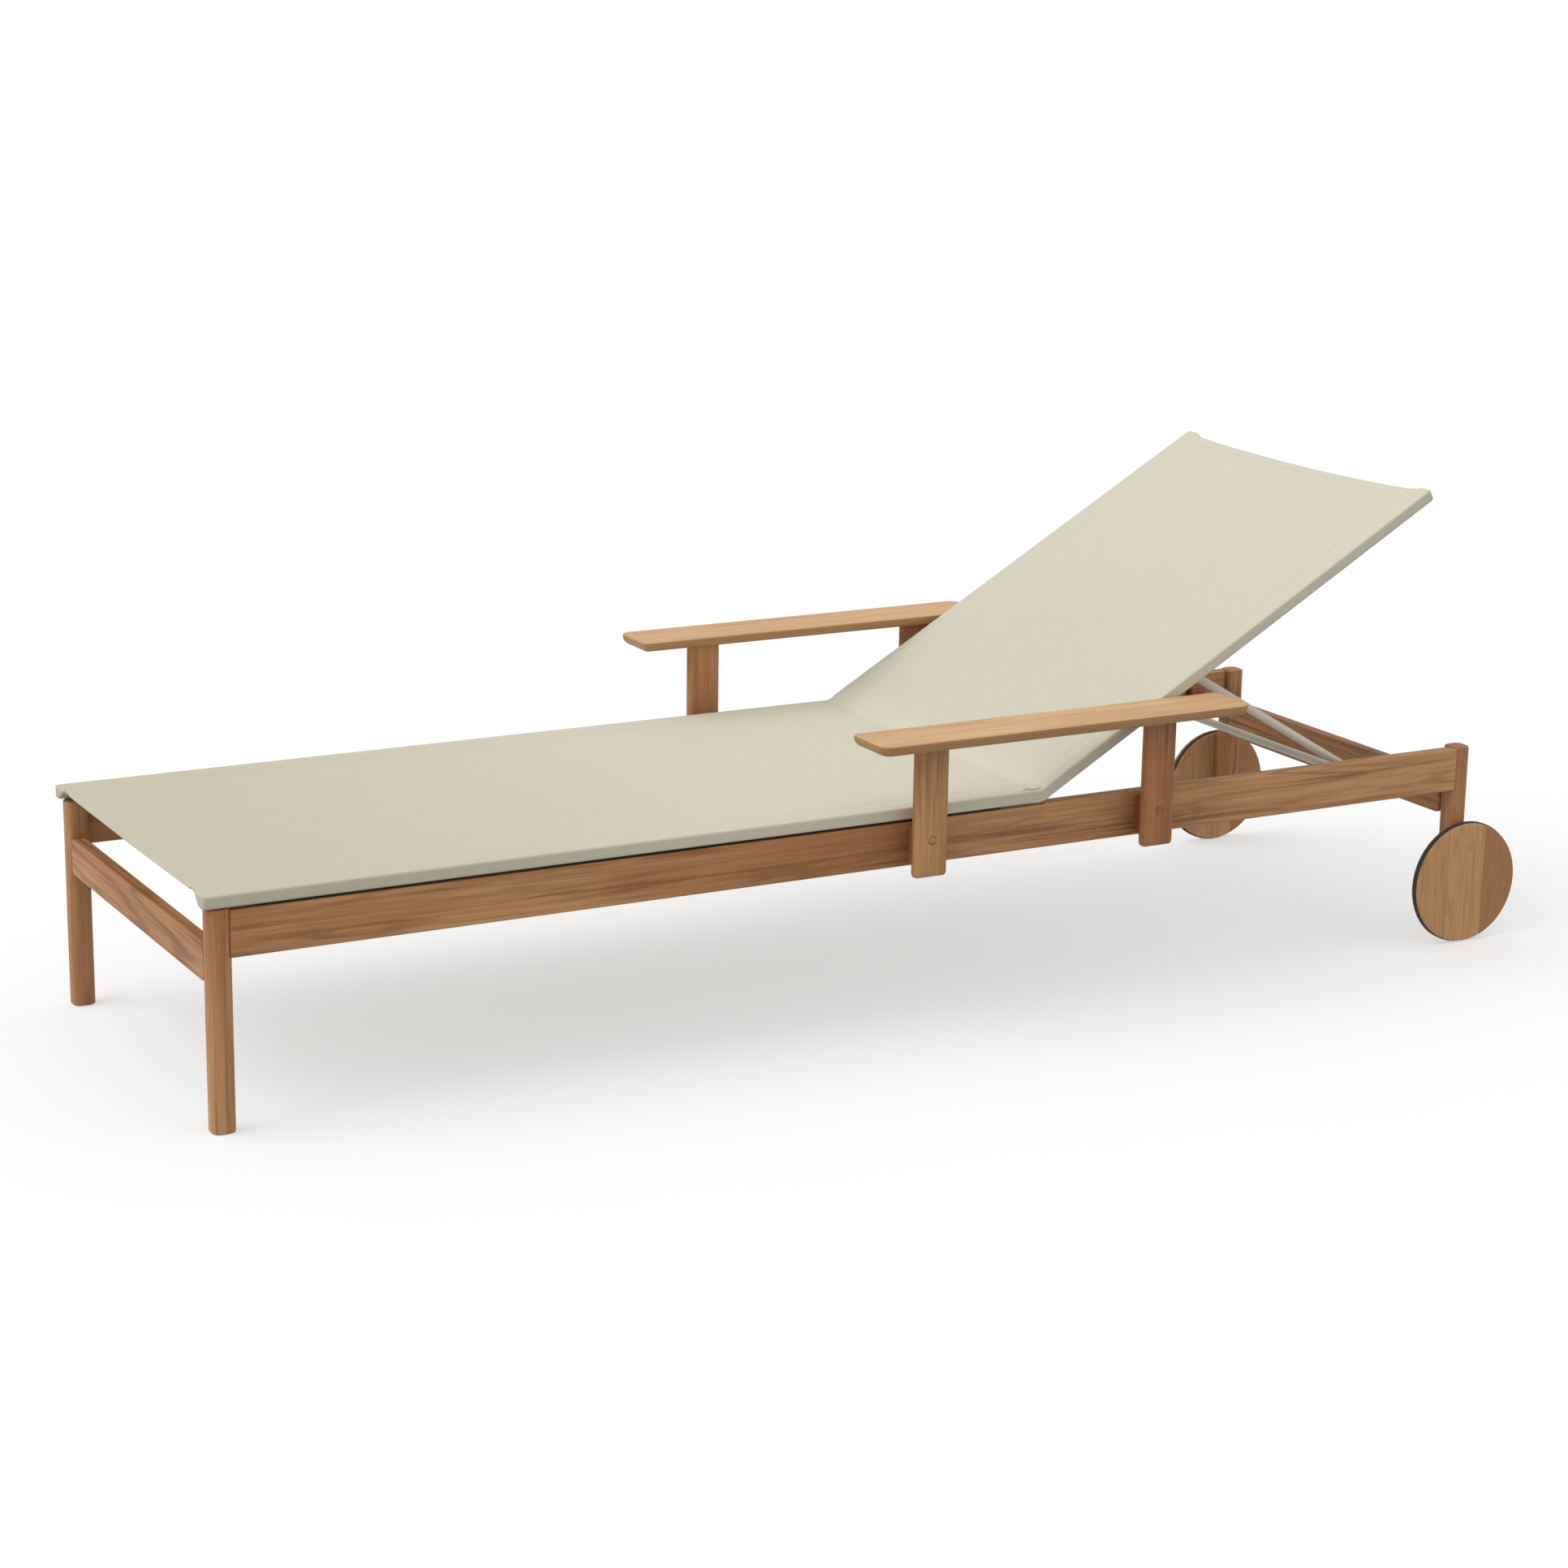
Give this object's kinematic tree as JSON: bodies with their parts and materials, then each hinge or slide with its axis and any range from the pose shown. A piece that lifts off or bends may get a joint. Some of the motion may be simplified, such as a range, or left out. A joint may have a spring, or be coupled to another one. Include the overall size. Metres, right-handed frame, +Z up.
{
  "type": "reclining sun lounger",
  "caption": "Wheeled reclining sun lounger: teak frame with armrests, fabric sling on side tubes, and a hinged backrest held by a folding bail in notched racks.",
  "frame": {"origin": "on the floor under the middle of the lounger's bounding box, backrest at its rest angle of 30 degrees", "axes": "+X towards the head end and its wheels, +Y towards the sitter's right hand, +Z up"},
  "size_m": [2.006, 0.782, 0.6739],
  "materials": {
    "teak": "oiled teak, fine straight grain",
    "dark_teak": "oiled teak, darker pieces out of the light",
    "arm_teak": "pale sanded teak",
    "wheel_teak": "oiled teak boards glued edge to edge",
    "coated_aluminium": "powder coated, satin cream",
    "coated_steel": "powder coated, satin cream",
    "sling_fabric": "woven mesh cloth",
    "steel": "brushed",
    "dark_plastic": "moulded, matt",
    "strip_rubber": "matt",
    "tyre": "matt rubber band"
  },
  "bodies": {
    "frame": {"foot_cross_rail": "teak", "rear_cross_rail": "teak", "middle_cross_rail": "teak", "seat_cross_tube_foot": "coated_aluminium", "seat_cross_tube_head": "coated_aluminium", "seat_sling": "sling_fabric", "foot_leg_left": "teak", "rear_leg_left": "teak", "side_rail_left": "teak", "armrest_left": "arm_teak", "arm_post_front_left": "teak", "arm_post_rear_left": "teak", "arm_spacer_front_left": "dark_teak", "arm_spacer_rear_left": "dark_teak", "rack_left": "dark_teak", "seat_rest_left": "strip_rubber", "seat_tube_left": "coated_aluminium", "seat_end_cap_left": "dark_plastic", "seat_hinge_left": "steel", "hinge_pin_left": "steel", "stub_axle_left": "steel", "wheel_washer_left": "dark_plastic", "foot_leg_right": "teak", "rear_leg_right": "teak", "side_rail_right": "teak", "armrest_right": "arm_teak", "arm_post_front_right": "teak", "arm_post_rear_right": "teak", "arm_spacer_front_right": "dark_teak", "arm_spacer_rear_right": "dark_teak", "rack_right": "dark_teak", "seat_rest_right": "strip_rubber", "seat_tube_right": "coated_aluminium", "seat_end_cap_right": "dark_plastic", "seat_hinge_right": "steel", "hinge_pin_right": "steel", "stub_axle_right": "steel", "wheel_washer_right": "dark_plastic"},
    "backrest": {"back_tube_left": "coated_aluminium", "back_end_cap_left": "dark_plastic", "back_hinge_left": "steel", "bail_bracket_left": "steel", "back_tube_right": "coated_aluminium", "back_end_cap_right": "dark_plastic", "back_hinge_right": "steel", "bail_bracket_right": "steel", "back_cross_tube_lower": "coated_aluminium", "back_cross_tube_upper": "coated_aluminium", "back_sling": "sling_fabric"},
    "bail": {"bail_arm_left": "coated_steel", "bail_arm_right": "coated_steel", "bail_cross_bar": "coated_steel"},
    "wheel_left": {"wheel_disc_left": "wheel_teak", "tyre_left": "tyre", "wheel_bush_left": "dark_plastic"},
    "wheel_right": {"wheel_disc_right": "wheel_teak", "tyre_right": "tyre", "wheel_bush_right": "dark_plastic"}
  },
  "joints": [
    {"name": "back_recline", "type": "hinge", "parent": "frame", "child": "backrest", "pos_m": [0.185, 0, 0.297], "axis": [0, -1, 0], "range_deg": [-30, 30]},
    {"name": "bail_fold", "type": "hinge", "parent": "backrest", "child": "bail", "pos_m": [0.44534, 0, 0.43807], "axis": [0, 1, 0], "range_deg": [-54, 54]},
    {"name": "wheel_left_spin", "type": "hinge", "parent": "frame", "child": "wheel_left", "pos_m": [0.913, -0.3125, 0.09], "axis": [0, 1, 0], "continuous": true},
    {"name": "wheel_right_spin", "type": "hinge", "parent": "frame", "child": "wheel_right", "pos_m": [0.913, 0.3125, 0.09], "axis": [0, 1, 0], "continuous": true}
  ],
  "couplings": [
    {"joint": "bail_fold", "follows": "back_recline", "ratio": 1.77}
  ]
}
